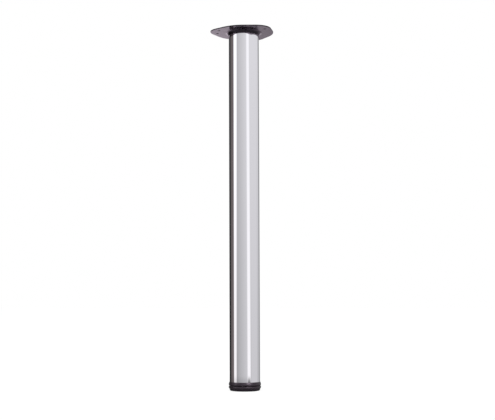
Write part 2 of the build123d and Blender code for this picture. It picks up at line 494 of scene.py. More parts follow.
class ShapeTree:
    """A Geometry Nodes tree with named inputs for its sizes."""

    KINDS = {int: "NodeSocketInt", float: "NodeSocketFloat"}

    def __init__(self, name: str, sizes: dict[str, float | int]) -> None:
        """Makes the tree.

        Args:
            name: The tree's name.
            sizes: The sizes that it is first given: lengths in metres, angles and counts.
        """
        self.tree = bpy.data.node_groups.new(name, "GeometryNodeTree")
        self.nodes = Nodes(self.tree)
        self.sizes = dict(sizes)
        interface = self.tree.interface
        interface.new_socket("Geometry", in_out="INPUT", socket_type="NodeSocketGeometry")
        interface.new_socket("Geometry", in_out="OUTPUT", socket_type="NodeSocketGeometry")
        for size, value in sizes.items():
            interface.new_socket(size, in_out="INPUT", socket_type=self.KINDS[type(value)])
        interface.new_socket("Material", in_out="INPUT", socket_type="NodeSocketMaterial")
        self.inputs = self.nodes.add("NodeGroupInput")
        painted = {
            "Geometry": self.real(self.shape(self.inputs.outputs["Geometry"])),
            "Material": self.inputs.outputs["Material"],
        }
        end = self.nodes.out("GeometryNodeSetMaterial", painted)
        self.nodes.add("NodeGroupOutput", {"Geometry": end})

    def shape(self, source: Socket) -> Socket:
        """Makes the shape from what the object holds. Each kind of tree has its own."""
        return source

    def size(self, name: str) -> Value:
        """Finds one of the tree's named sizes."""
        return self.nodes.value(self.inputs.outputs[name])

    def point(self, x: object = 0.0, y: object = 0.0, z: object = 0.0) -> Socket:
        """Makes a vector of three values."""
        return self.nodes.out("ShaderNodeCombineXYZ", {"X": x, "Y": y, "Z": z})

    def real(self, geometry: Socket) -> Socket:
        """Makes instances into geometry."""
        return self.nodes.out("GeometryNodeRealizeInstances", {"Geometry": geometry})

    def joined(self, *parts: Socket) -> Socket:
        """Joins geometry, without welding it."""
        return self.nodes.out("GeometryNodeJoinGeometry", {0: list(parts)})

    def welded(self, geometry: Socket) -> Socket:
        """Welds points that lie at one place."""
        inputs = {"Geometry": geometry, "Distance": WELD}
        return self.nodes.out("GeometryNodeMergeByDistance", inputs)

    def combined(self, operation: str, inputs: Inputs) -> Socket:
        """Joins solids, cuts one from the other, or keeps what they share."""
        settings = {"operation": operation, "solver": "EXACT"}
        return self.nodes.out("GeometryNodeMeshBoolean", inputs, **settings)

    def moved(self, geometry: Socket, place: Socket, scale: Triple = (1, 1, 1)) -> Socket:
        """Scales geometry and then moves it."""
        inputs = {"Geometry": geometry, "Translation": place, "Scale": scale}
        return self.nodes.out("GeometryNodeTransform", inputs)

    def curve(self, edges: Socket) -> Socket:
        """Makes a curve from edges."""
        return self.nodes.out("GeometryNodeMeshToCurve", {"Mesh": edges})

    def circle(self, segments: object, radius: Value) -> Socket:
        """Draws a circle round the axis."""
        inputs = {"Resolution": segments, "Radius": radius}
        return self.nodes.out("GeometryNodeCurvePrimitiveCircle", inputs)

    def hexagon(self, width: Value, height: Value) -> Socket:
        """Makes a six-sided prism round the origin, from its width across flats."""
        inputs = {"Vertices": 6, "Radius": width / math.sqrt(3), "Depth": height}
        return self.nodes.out("GeometryNodeMeshCylinder", inputs)

    def ring(self, part: Socket, count: Value, start: Value | float, first: float = 0.0) -> Socket:
        """Repeats a part at even steps round the axis.

        Args:
            part: The part, where it is at no turn.
            count: How many of it there are.
            start: The angle that the steps are counted from, in radians.
            first: The first one's place, in parts of a step.

        Returns:
            The parts, as real geometry.
        """
        line = {"Count": count, "Offset": (0, 0, 0)}
        index = self.nodes.value(self.nodes.out("GeometryNodeInputIndex"))
        turn = (index + first) * (2 * math.pi) / count + start
        every = {
            "Points": self.nodes.out("GeometryNodeMeshLine", line),
            "Instance": part,
            "Rotation": self.point(z=turn),
        }
        return self.real(self.nodes.out("GeometryNodeInstanceOnPoints", every))

    def make(
        self,
        material: bpy.types.Material,
        source: bpy.types.Mesh | None = None,
        **sizes: float | int,
    ) -> bpy.types.Mesh:
        """Runs the tree.

        Args:
            material: The material that its faces get.
            source: The mesh that it starts from, for a tree that doesn't draw its own.
            sizes: Sizes other than the tree's first ones, by name.

        Returns:
            The plain mesh that it makes.
        """
        carrier = bpy.data.objects.new("carrier", source or line_mesh([(0.0, 0.0)], False))
        modifier = carrier.modifiers.new("shape", "NODES")
        modifier.node_group = self.tree
        values = {**self.sizes, **sizes, "Material": material}
        for item in self.tree.interface.items_tree:
            if item.in_out == "INPUT" and item.name in values:
                modifier[item.identifier] = values[item.name]
        return plain_mesh(carrier)


class TurnedTree(ShapeTree):
    """Turns a profile, drawn as (radius, height), round the leg's axis."""

    def __init__(self, name: str = "turned", **sizes: float | int) -> None:
        """Makes the tree, with the sizes of its profile if it draws that itself."""
        super().__init__(name, {"Segments": ROUND_SEGMENTS, "Path Radius": 1.0, **sizes})

    def profile(self, source: Socket) -> Socket:
        """Makes the profile's curve from the object's edges."""
        return self.curve(source)

    def shape(self, source: Socket) -> Socket:
        """Sweeps the profile round a circle, which takes its heights downwards.

        Args:
            source: The object's own geometry.

        Returns:
            The turned surface.
        """
        path = self.size("Path Radius")
        section = self.moved(self.profile(source), self.point(path * -1), (1, -1, 1))
        circle = {"Curve": self.circle(self.size("Segments"), path)}
        upright = self.nodes.out("GeometryNodeSetCurveNormal", circle, mode="Z_UP")
        swept = {"Curve": upright, "Profile Curve": section}
        return self.welded(self.nodes.out("GeometryNodeCurveToMesh", swept))


class TubeTree(TurnedTree):
    """Turns a tube's wall, from its radius, wall, ends and edge."""

    BROKEN_STEPS = 4

    def __init__(self, tube: Tube) -> None:
        """Makes the tree with the tube's sizes.

        Args:
            tube: The tube.
        """
        lengths = {
            "Radius": tube.radius,
            "Wall": tube.wall,
            "Bottom": tube.bottom,
            "Top": tube.top,
            "Edge": tube.edge,
        }
        super().__init__("tube_wall", **{"Segments": TUBE_SEGMENTS, **metres(lengths)})

    def profile(self, source: Socket) -> Socket:
        """Makes the wall's section, with its edges broken.

        Args:
            source: The object's own geometry, which isn't needed here.

        Returns:
            The section's curve, as (radius, height).
        """
        top, bottom, wall = (self.size(name) for name in ("Top", "Bottom", "Wall"))
        box = {"Width": wall, "Height": top - bottom}
        sharp = self.nodes.out("GeometryNodeCurvePrimitiveQuadrilateral", box, mode="RECTANGLE")
        broken = {"Curve": sharp, "Count": self.BROKEN_STEPS, "Radius": self.size("Edge")}
        section = self.nodes.out("GeometryNodeFilletCurve", broken, mode="POLY")
        return self.moved(section, self.point(self.size("Radius") - wall / 2, (top + bottom) / 2))


class PlateTree(ShapeTree):
    """Fills a sheet inside an outline, round the hub and the screw holes, and thickens it."""

    JUST_OUTSIDE = 1.0002

    def __init__(self, plate: MountingPlate) -> None:
        """Makes the tree with the plate's sizes.

        Args:
            plate: The plate.
        """
        lengths = {
            "Bottom": plate.leg_height - plate.thickness,
            "Thickness": plate.thickness,
            "Hub Radius": plate.hub_edge,
            "Hole Radius": plate.hole_diameter / 2,
            "Hole Row": plate.hole_row,
            "Hole Spacing": plate.hole_spacing,
        }
        others = {
            "Hub Segments": ROUND_SEGMENTS,
            "Lobes": plate.lobe_count,
            "First Lobe": math.radians(plate.lobe_first_angle),
        }
        super().__init__("pressed_plate", {**metres(lengths), **others})

    def holes(self) -> Socket:
        """Puts a pair of holes in each lobe.

        Returns:
            The holes' edges.
        """
        spacing = self.size("Hole Spacing")
        pair = {
            "Count": 2,
            "Start Location": self.point(self.size("Hole Row"), spacing * -0.5),
            "Offset": self.point(y=spacing),
        }
        both = {
            "Points": self.nodes.out("GeometryNodeMeshLine", pair),
            "Instance": self.circle(HOLE_SEGMENTS, self.size("Hole Radius")),
        }
        holes = self.nodes.out("GeometryNodeInstanceOnPoints", both)
        return self.ring(holes, self.size("Lobes"), self.size("First Lobe"))

    def shape(self, source: Socket) -> Socket:
        """Fills the sheet and thickens it upwards, and opens it at the hub.

        Args:
            source: The outline's edges.

        Returns:
            The plate's sheet, open where the hub joins it.
        """
        hub_radius = self.size("Hub Radius")
        hub = self.circle(self.size("Hub Segments"), hub_radius)
        edges = self.joined(self.curve(source), self.holes(), hub)
        sheet = self.nodes.out("GeometryNodeFillCurve", {"Curve": edges})
        rise = {
            "Mesh": sheet,
            "Offset": (0, 0, 1),
            "Offset Scale": self.size("Thickness"),
            "Individual": False,
        }
        raised = self.nodes.add("GeometryNodeExtrudeMesh", rise)
        reach = self.nodes.reach(self.nodes.out("GeometryNodeInputPosition"))
        inside = reach.math("LESS_THAN", hub_radius * self.JUST_OUTSIDE)
        wall = inside * self.nodes.value(raised.outputs["Side"])
        shell = {"Geometry": raised.outputs["Mesh"], "Selection": wall}
        opened = self.nodes.out("GeometryNodeDeleteGeometry", shell, domain="FACE")
        under = self.nodes.out("GeometryNodeFlipFaces", {"Mesh": sheet})
        return self.welded(
            self.moved(self.joined(opened, under), self.point(z=self.size("Bottom")))
        )


class ThreadTree(ShapeTree):
    """Winds a right-handed thread round the leg's axis, with its rows along the helix."""

    LENGTHS = (
        "Radius",
        "Depth",
        "Pitch",
        "Bottom",
        "Top",
        "Bottom Run out",
        "Top Run out",
        "Bottom Chamfer",
        "Top Chamfer",
    )
    FLAT_ROOT = 0.2
    FLAT_CREST = 0.12
    TURNS_BELOW = 1.5
    SPARE_TURNS = 2.5

    def __init__(self) -> None:
        """Makes the tree, with lengths of 0 for a thread to give its own."""
        counts = {"Columns": THREAD_SEGMENTS, "Rows In A Turn": THREAD_ROWS}
        super().__init__("thread", {**dict.fromkeys(self.LENGTHS, 0.0), **counts})

    def shape(self, source: Socket) -> Socket:
        """Rolls up a sheet whose rows rise by one pitch a turn, and cuts the thread in it.

        The sheet has spare turns, some below the thread's start and the rest above its end.
        What lies past an end is pressed flat on to it.

        Args:
            source: The object's own geometry, which isn't needed here.

        Returns:
            The thread's surface, open at both ends.
        """
        radius, depth, pitch, low, high, *ends = (self.size(name) for name in self.LENGTHS)
        run_in, run_out, low_chamfer, high_chamfer = ends
        rows_in_turn = self.size("Rows In A Turn")
        length = high - low + pitch * self.SPARE_TURNS
        rows = (length / pitch * rows_in_turn).math("ROUND")
        grid = {
            "Size X": 2 * math.pi,
            "Size Y": 1.0,
            "Vertices X": self.size("Columns") + 1,
            "Vertices Y": rows + 1,
        }
        sheet = self.nodes.out("GeometryNodeMeshGrid", grid)
        unrolled = {0: self.nodes.out("GeometryNodeInputPosition")}
        parts = self.nodes.add("ShaderNodeSeparateXYZ", unrolled)
        turn = self.nodes.value(parts.outputs["X"])
        row = (self.nodes.value(parts.outputs["Y"]) + 0.5) * rows
        turns = turn / (2 * math.pi)
        free = low - pitch * self.TURNS_BELOW + row * pitch / rows_in_turn + turns * pitch
        height = free.at_least(low).at_most(high)
        wave = ((height - low) / pitch - turns).math("FRACT") - 0.5
        groove = 1 - (wave.math("ABSOLUTE") * 2).ramp(self.FLAT_ROOT, 1 - self.FLAT_CREST)
        bottom_share = ((height - low) / run_in.at_least(WELD)).clamped()
        top_share = ((high - height) / run_out.at_least(WELD)).clamped()
        cut = radius - depth * groove * bottom_share * top_share
        low_cone = radius - low_chamfer + (height - low)
        high_cone = radius - high_chamfer + (high - height)
        held = cut.at_most(low_cone).at_most(high_cone)
        place = self.point(held * turn.math("COSINE"), held * turn.math("SINE"), height)
        rolled = {"Geometry": sheet, "Position": place}
        return self.welded(self.nodes.out("GeometryNodeSetPosition", rolled))


class HexTree(ShapeTree):
    """Cuts a hexagonal head, with its corners taken off by a cone."""

    def __init__(self) -> None:
        """Makes the tree, with lengths of 0 for a head to give its own."""
        super().__init__("hexagon", dict.fromkeys(("Width", "Bottom", "Height", "Chamfer"), 0.0))

    def shape(self, source: Socket) -> Socket:
        """Keeps what the prism and the cone share.

        Args:
            source: The object's own geometry, which isn't needed here.

        Returns:
            The head.
        """
        width, height = self.size("Width"), self.size("Height")
        top_radius = width / 2 - self.size("Chamfer")
        cone = {
            "Vertices": ROUND_SEGMENTS,
            "Radius Top": top_radius,
            "Radius Bottom": top_radius + height / math.tan(HEAD_CONE_ANGLE),
            "Depth": height,
        }
        point = self.nodes.out("GeometryNodeMeshCone", cone)
        lowered = self.moved(point, self.point(z=height * -0.5))
        head = self.combined("INTERSECT", {"Mesh 2": [self.hexagon(width, height), lowered]})
        return self.moved(head, self.point(z=self.size("Bottom") + height / 2))


class PlugTree(ShapeTree):
    """Adds the grip ribs and the webs to the plug's turned body, and cuts the nut's pocket."""

    def __init__(self, plug: FootSocket) -> None:
        """Makes the tree with the plug's sizes.

        Args:
            plug: The plug.
        """
        inside = plug.radius - plug.wall
        lengths = {
            "Grip Width": plug.grip_width,
            "Grip Start": inside + plug.wall / 2,
            "Grip End": plug.grip_reach,
            "Grip Bottom": plug.flange_top - plug.sunk,
            "Grip Top": plug.grip_top,
            "Web Width": plug.web_thickness,
            "Web Start": plug.boss_radius - plug.sunk,
            "Web End": inside + plug.sunk,
            "Web Bottom": plug.floor_top - plug.sunk,
            "Web Top": plug.web_top,
            "Pocket Width": plug.pocket_width,
            "Pocket Bottom": plug.pocket_bottom,
            "Pocket Top": plug.top + plug.sunk,
        }
        counts = {"Grip Count": plug.grip_count, "Web Count": plug.web_count}
        super().__init__("moulded_plug", {**metres(lengths), **counts})

    def bars(self, kind: str, first: float) -> Socket:
        """Puts bars of one kind all round the axis.

        Args:
            kind: The word that the bars' sizes start with.
            first: The first bar's place, in parts of the step from bar to bar.

        Returns:
            The bars, as real geometry.
        """
        names = ("Start", "End", "Bottom", "Top", "Width", "Count")
        start, end, low, high, width, count = (self.size(f"{kind} {name}") for name in names)
        box = {"Size": self.point(end - start, width, high - low)}
        bar = self.nodes.out("GeometryNodeMeshCube", box)
        place = self.point((start + end) / 2, 0.0, (low + high) / 2)
        return self.ring(self.moved(bar, place), count, 0.0, first)

    def shape(self, source: Socket) -> Socket:
        """Joins the bars to the body and cuts the pocket.

        Args:
            source: The plug's turned body.

        Returns:
            The whole plug.
        """
        parts = [source, self.bars("Grip", 0.5), self.bars("Web", 0.0)]
        ribbed = self.combined("UNION", {"Mesh 2": parts})
        low, high = self.size("Pocket Bottom"), self.size("Pocket Top")
        prism = self.hexagon(self.size("Pocket Width"), high - low)
        pocket = self.moved(prism, self.point(z=(low + high) / 2))
        return self.combined("DIFFERENCE", {"Mesh 1": ribbed, "Mesh 2": pocket})


class Workshop:
    """Makes meshes whole and puts pieces on their bodies."""

    def __init__(self, paints: Paints) -> None:
        """Keeps the materials and the trees that more than one piece needs.

        Args:
            paints: The materials.
        """
        self.paints = paints
        self.turning = TurnedTree()
        self.threading = ThreadTree()

    def turned(
        self,
        corners: Sequence[Corner],
        slot: Slot,
        closed: bool,
        segments: int = ROUND_SEGMENTS,
    ) -> bpy.types.Mesh:
        """Turns a profile.

        Args:
            corners: Its corners, as (radius, height, rounding) in millimetres.
            slot: The slot whose material it gets.
            closed: Whether the last corner joins the first.
            segments: How many steps there are round the axis.

        Returns:
            The turned mesh.
        """
        profile = line_mesh(rounded(corners, closed), closed)
        return self.turning.make(self.paints[slot], profile, Segments=segments)

    def threaded(self, slot: Slot, **sizes: float) -> bpy.types.Mesh:
        """Winds a thread.

        Args:
            slot: The slot whose material it gets.
            sizes: The tree's lengths in millimetres, with underscores for the blanks.

        Returns:
            The thread's surface, open at both ends.
        """
        lengths = {name.replace("_", " "): size for name, size in metres(sizes).items()}
        return self.threading.make(self.paints[slot], **lengths)

    @staticmethod
    def whole(*meshes: bpy.types.Mesh) -> bmesh.types.BMesh:
        """Joins meshes, welds where they meet and turns their faces outwards.

        Args:
            meshes: The meshes.

        Returns:
            The form that they make.
        """
        form = bmesh.new()
        for mesh in meshes:
            form.from_mesh(mesh)
        bmesh.ops.remove_doubles(form, verts=form.verts, dist=WELD)
        bmesh.ops.recalc_face_normals(form, faces=form.faces)
        return form

    @staticmethod
    def bevel(
        form: bmesh.types.BMesh, edges: list[bmesh.types.BMEdge], width: float, steps: int
    ) -> None:
        """Rounds some edges of a form.

        Args:
            form: The form.
            edges: Its edges to round.
            width: How far from the edge the round starts, in millimetres.
            steps: How many steps the round has.
        """
        bmesh.ops.bevel(
            form,
            geom=edges,
            offset=width * MM,
            segments=steps,
            profile=0.5,
            affect="EDGES",
            clamp_overlap=True,
        )

    def place(
        self,
        name: str,
        form: bmesh.types.BMesh,
        slot: Slot,
        body: Body,
        nodes: Iterable[str],
    ) -> bpy.types.Object:
        """Turns a form into a piece.

        Args:
            name: The piece's name.
            form: Its shape. It is freed here.
            slot: The slot that it takes its finish from.
            body: The body that it rides on.
            nodes: The solids that it stands for.

        Returns:
            The piece.
        """
        for face in form.faces:
            face.smooth = True
        for edge in form.edges:
            edge.smooth = len(edge.link_faces) == 2 and edge.calc_face_angle() < SHARP_ANGLE
        mesh = bpy.data.meshes.new(name)
        form.to_mesh(mesh)
        form.free()
        mesh.materials.clear()
        mesh.materials.append(self.paints[slot])
        carrier = bpy.data.objects.new("carrier", mesh)
        shading = carrier.modifiers.new("shading", "WEIGHTED_NORMAL")
        shading.keep_sharp = True
        piece = bpy.data.objects.new(name, plain_mesh(carrier))
        piece.data.name = name
        bpy.context.scene.collection.objects.link(piece)
        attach(piece, body.value)
        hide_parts(*nodes)
        log.info("%s: %d faces on %s", name, len(piece.data.polygons), body.value)
        return piece


# The leg's pieces


@dataclass
class MountingPlate:
    """The pressed plate with its three lobes, its screw holes and its drawn hub."""

    leg_height: float = 710.0
    thickness: float = 2.0
    web_radius: float = 59.0
    lobe_count: int = 3
    lobe_first_angle: float = 90.0
    lobe_reach: float = 67.0
    lobe_radius: float = 31.0
    rim_round: float = 0.5
    rim_steps: int = 4
    rim_share: float = 0.98
    hole_diameter: float = 5.0
    hole_row: float = 51.5
    hole_spacing: float = 22.5
    hole_round: float = 0.3
    hole_steps: int = 2
    tube_radius: float = 30.0
    tube_top: float = 701.8
    shoulder_round: float = 0.6
    flare_radius: float = 7.0
    flare_lean: float = 3.6
    spigot_radius: float = 28.65
    spigot_bottom: float = 683.6
    spigot_round: float = 3.0
    bolt_hole: float = 4.4

    @property
    def flare_slope(self) -> float:
        """How far the flare leans out for each millimetre that it rises."""
        return self.flare_lean / (self.leg_height - self.thickness - self.tube_top)

    @property
    def flare_turn(self) -> float:
        """The angle that the flare turns the sheet through, in radians."""
        return math.pi / 2 - math.atan(self.flare_slope)

    @property
    def hub_edge(self) -> float:
        """The radius just outside the hub's flare, where the sheet is flat."""
        tangent = self.flare_radius * math.tan(self.flare_turn / 2)
        return self.tube_radius + self.flare_lean + tangent + self.thickness

    def outline(self) -> list[Pair]:
        """Draws the lobes' and the web's arcs, with the straight runs that touch both.

        Returns:
            The outline's points, in metres.
        """
        middle = self.lobe_reach - self.lobe_radius
        touch = math.acos((self.web_radius - self.lobe_radius) / middle)
        pitch = 2 * math.pi / self.lobe_count
        points: list[Pair] = []
        for lobe in range(self.lobe_count):
            arm = math.radians(self.lobe_first_angle) + lobe * pitch
            centre = (middle * math.cos(arm), middle * math.sin(arm))
            points += arc(centre, self.lobe_radius, arm - touch, arm + touch, LOBE_STEPS)
            points += arc((0, 0), self.web_radius, arm + touch, arm + pitch - touch, WEB_STEPS)
        return points

    def hub_profile(self) -> list[Corner]:
        """Draws the hub from just outside its flare, down to its floor and back up.

        Returns:
            The corners, as (radius, height, rounding) in millimetres.
        """
        under = self.leg_height - self.thickness
        spigot_inside = self.spigot_radius - self.thickness
        floor = self.spigot_bottom + self.thickness
        shoulder = self.tube_top + self.thickness
        corner = self.tube_radius + self.flare_lean
        inwards = self.thickness / math.sin(self.flare_turn) - self.thickness * self.flare_slope
        return [
            (self.hub_edge, under, 0),
            (corner, under, self.flare_radius),
            (self.tube_radius, self.tube_top, self.shoulder_round),
            (self.spigot_radius, self.tube_top, 0),
            (self.spigot_radius, self.spigot_bottom, self.spigot_round),
            (self.bolt_hole, self.spigot_bottom, 0),
            (self.bolt_hole, floor, 0),
            (spigot_inside, floor, self.spigot_round - self.thickness),
            (spigot_inside, shoulder, self.shoulder_round),
            (self.tube_radius - inwards, shoulder, 0),
            (corner - inwards, self.leg_height, self.flare_radius + self.thickness),
            (self.hub_edge, self.leg_height, 0),
        ]

    def break_edges(self, form: bmesh.types.BMesh, shop: Workshop) -> None:
        """Rounds the plate's rim and the holes' edges.

        The rim lies past a share of the web's radius, and the holes between the hub and the rim.

        Args:
            form: The plate's form.
            shop: The workshop that finishes the piece.
        """
        under = (self.leg_height - self.thickness) * MM
        flat = [
            edge
            for edge in form.edges
            if len(edge.link_faces) == 2
            and min(vert.co.z for vert in edge.verts) > under - WELD
            and edge.calc_face_angle() > RIM_ANGLE
        ]
        inner, outer = self.hub_edge * MM, self.web_radius * self.rim_share * MM
        rim = [edge for edge in flat if edge.verts[0].co.xy.length > outer]
        bores = [edge for edge in flat if inner < edge.verts[0].co.xy.length and edge not in rim]
        shop.bevel(form, rim, self.rim_round, self.rim_steps)
        shop.bevel(form, bores, self.hole_round, self.hole_steps)

    def build(self, shop: Workshop) -> bpy.types.Object:
        """Builds the plate.

        Args:
            shop: The workshop that finishes the piece.

        Returns:
            The piece.
        """
        slot = Slot.PLATE_COATING
        sheet = PlateTree(self).make(shop.paints[slot], line_mesh(self.outline(), True))
        form = shop.whole(sheet, shop.turned(self.hub_profile(), slot, False))
        self.break_edges(form, shop)
        return shop.place("plate_and_hub", form, slot, Body.LEG, ["mounting_plate"])


@dataclass
class Tube:
    """The chromed tube."""

    radius: float = 30.0
    wall: float = 1.2
    bottom: float = 17.0
    top: float = 701.8
    edge: float = 0.3

    def build(self, shop: Workshop) -> bpy.types.Object:
        """Builds the tube."""
        form = shop.whole(TubeTree(self).make(shop.paints[Slot.CHROME]))
        return shop.place("chromed_tube", form, Slot.CHROME, Body.LEG, ["tube"])


@dataclass
class Foot:
    """The disc that stands on the floor."""

    height: float = 9.4
    radius: float = 31.4
    top_round: float = 1.5
    band_bottom: float = 5.6
    neck_radius: float = 30.3
    neck_top: float = 4.6
    small_round: float = 0.6
    floor_radius: float = 28.8
    floor_round: float = 1.8
    recess_radius: float = 20.0
    recess_depth: float = 1.0
    recess_round: float = 0.2
    stud_bore: float = 5.05
    head_radius: float = 12.05
    head_bottom: float = 3.2
    head_top: float = 6.3

    def profile(self) -> list[Corner]:
        """Draws the disc from the middle of its underside to the stud's head.

        Returns:
            The corners, as (radius, height, rounding) in millimetres.
        """
        return [
            (0, self.recess_depth, 0),
            (self.recess_radius, self.recess_depth, self.recess_round),
            (self.recess_radius, 0, self.recess_round),
            (self.floor_radius, 0, self.floor_round),
            (self.neck_radius, self.neck_top, self.small_round),
            (self.radius, self.band_bottom, self.small_round),
            (self.radius, self.height, self.top_round),
            (self.stud_bore, self.height, 0),
            (self.stud_bore, self.head_top, 0),
            (self.head_radius, self.head_top, 0),
            (self.head_radius, self.head_bottom, 0),
            (0, self.head_bottom, 0),
        ]

    def build(self, shop: Workshop) -> bpy.types.Object:
        """Builds the disc."""
        form = shop.whole(shop.turned(self.profile(), Slot.BLACK_PLASTIC, False))
        return shop.place("foot_pad", form, Slot.BLACK_PLASTIC, Body.FOOT, ["foot_disc"])


@dataclass
class FootSocket:
    """The moulded plug in the tube's lower end, whose flange bellies out under the tube."""

    flange_radius: float = 31.4
    flange_bottom: float = 10.0
    flange_top: float = 17.0
    flange_lip: float = 30.3
    flange_waist: float = 13.4
    belly_round: float = 6.0
    lower_round: float = 1.5
    edge_round: float = 0.3
    radius: float = 28.4
    wall: float = 2.4
    top: float = 47.0
    floor_top: float = 13.0
    lead: float = 1.5
    thread_hole: float = 5.4
    boss_radius: float = 13.33
    grip_count: int = 12
    grip_width: float = 2.0
    grip_reach: float = 28.75
    grip_top: float = 42.5
    web_count: int = 6
    web_thickness: float = 2.0
    web_top: float = 43.0
    pocket_width: float = 17.2
    pocket_bottom: float = 36.0
    sunk: float = 0.6

    def profile(self) -> list[Corner]:
        """Draws the plug from the thread's hole out under the flange, and up over the wall.

        Returns:
            The corners, as (radius, height, rounding) in millimetres.
        """
        inside = self.radius - self.wall
        return [
            (self.thread_hole, self.flange_bottom, self.edge_round),
            (self.flange_radius, self.flange_bottom, self.lower_round),
            (self.flange_radius, self.flange_waist, self.belly_round),
            (self.flange_lip, self.flange_top, self.edge_round),
            (self.radius, self.flange_top, 0),
            (self.radius, self.top - self.lead, 0),
            (self.radius - self.lead, self.top, 0),
            (inside, self.top, 0),
            (inside, self.floor_top, 0),
            (self.boss_radius, self.floor_top, 0),
            (self.boss_radius, self.top, 0),
            (self.thread_hole, self.top, 0),
        ]

    def build(self, shop: Workshop) -> bpy.types.Object:
        """Builds the plug.

        Args:
            shop: The workshop that finishes the piece.

        Returns:
            The piece.
        """
        slot = Slot.BLACK_PLASTIC
        body = shop.turned(self.profile(), slot, True)
        form = shop.whole(PlugTree(self).make(shop.paints[slot], body))
        return shop.place("foot_plug", form, slot, Body.LEG, ["foot_socket"])


@dataclass
class FootStud:
    """The threaded stud, with the flat round head that the disc is moulded on."""

    radius: float = 5.0
    depth: float = 0.92
    pitch: float = 1.5
    head_radius: float = 12.0
    head_bottom: float = 3.25
    head_top: float = 6.25
    head_round: float = 0.5
    top: float = 66.0
    chamfer: float = 1.2

    def build(self, shop: Workshop) -> bpy.types.Object:
        """Builds the stud.

        Args:
            shop: The workshop that finishes the piece.

        Returns:
            The piece.
        """
        slot = Slot.ZINC_STEEL
        head = [
            (0, self.head_bottom, 0),
            (self.head_radius, self.head_bottom, self.head_round),
            (self.head_radius, self.head_top, self.head_round),
            (self.radius, self.head_top, 0),
        ]
        tip = [(self.radius - self.chamfer, self.top, 0), (0, self.top, 0)]
        thread = shop.threaded(
            slot,
            Radius=self.radius,
            Depth=self.depth,
            Pitch=self.pitch,
            Bottom=self.head_top,
            Top=self.top,
            Bottom_Run_out=self.pitch,
            Top_Chamfer=self.chamfer,
        )
        ends = [shop.turned(corners, slot, False, THREAD_SEGMENTS) for corners in (head, tip)]
        form = shop.whole(thread, *ends)
        return shop.place("threaded_stud", form, slot, Body.STUD, ["foot_stud"])


@dataclass
class CentreBolt:
    """The hexagon bolt that clamps the tube to the hub, with its washer."""

    seat: float = 687.6
    head_width: float = 13.0
    head_height: float = 5.3
    head_chamfer: float = 0.6
    head_edge: float = 0.15
    head_steps: int = 2
    end: float = 670.3
    radius: float = 4.0
    depth: float = 0.77
    pitch: float = 1.25
    chamfer: float = 1.0
    sunk: float = 0.5
    washer_radius: float = 12.0
    washer_bore: float = 4.4
    washer_bottom: float = 685.6
    washer_edge: float = 0.3

    def head(self, shop: Workshop, slot: Slot) -> bmesh.types.BMesh:
        """Cuts the head and breaks its edges.

        Args:
            shop: The workshop that finishes the piece.
            slot: The slot whose material it gets.

        Returns:
            The head's form.
        """
        lengths = {
            "Width": self.head_width,
            "Bottom": self.seat,
            "Height": self.head_height,
            "Chamfer": self.head_chamfer,
        }
        head = shop.whole(HexTree().make(shop.paints[slot], **metres(lengths)))
        corners = [edge for edge in head.edges if edge.calc_face_angle(0) > HEAD_EDGE_ANGLE]
        shop.bevel(head, corners, self.head_edge, self.head_steps)
        return head

    def shank(self, shop: Workshop, slot: Slot) -> bmesh.types.BMesh:
        """Winds the shank's thread and closes it at both ends.

        Args:
            shop: The workshop that finishes the piece.
            slot: The slot whose material it gets.

        Returns:
            The shank's form, which reaches a little into the head.
        """
        top = self.seat + self.sunk
        thread = shop.threaded(
            slot,
            Radius=self.radius,
            Depth=self.depth,
            Pitch=self.pitch,
            Bottom=self.end,
            Top=top,
            Bottom_Chamfer=self.chamfer,
            Top_Run_out=self.pitch,
        )
        tip = [(0, self.end, 0), (self.radius - self.chamfer, self.end, 0)]
        root = [(self.radius, top, 0), (0, top, 0)]
        ends = [shop.turned(corners, slot, False, THREAD_SEGMENTS) for corners in (tip, root)]
        return shop.whole(thread, *ends)

    def washer(self) -> list[Corner]:
        """Draws the washer's section.

        Returns:
            The corners, as (radius, height, rounding) in millimetres.
        """
        return [
            (self.washer_bore, self.washer_bottom, 0),
            (self.washer_radius, self.washer_bottom, self.washer_edge),
            (self.washer_radius, self.seat, self.washer_edge),
            (self.washer_bore, self.seat, self.washer_edge),
        ]

    def build(self, shop: Workshop) -> list[bpy.types.Object]:
        """Builds the bolt and the washer.

        Args:
            shop: The workshop that finishes the pieces.

        Returns:
            The two pieces.
        """
        slot = Slot.ZINC_STEEL
        form = self.head(shop, slot)
        shank = self.shank(shop, slot)
        joined = bpy.data.meshes.new("shank")
        shank.to_mesh(joined)
        shank.free()
        form.from_mesh(joined)
        bolt = shop.place("hexagon_bolt", form, slot, Body.LEG, ["centre_bolt"])
        ring = shop.whole(shop.turned(self.washer(), slot, True))
        return [bolt, shop.place("flat_washer", ring, slot, Body.LEG, ["bolt_washer"])]


class KeptSolids:
    """The solids that are shown as they are, with a finish of their own."""

    SLOTS = {
        "tube_cup": Slot.BARE_STEEL,
        "weld_nut": Slot.BARE_STEEL,
        "socket_nut": Slot.ZINC_STEEL,
    }

    def dress(self, paints: Paints) -> None:
        """Gives each kept solid its slot's material.

        Args:
            paints: The materials.
        """
        for node, slot in self.SLOTS.items():
            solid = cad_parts[node]
            solid.data.materials.clear()
            solid.data.materials.append(paints[slot])
            log.info("%s: kept, in %s", node, slot.value)


# The studio


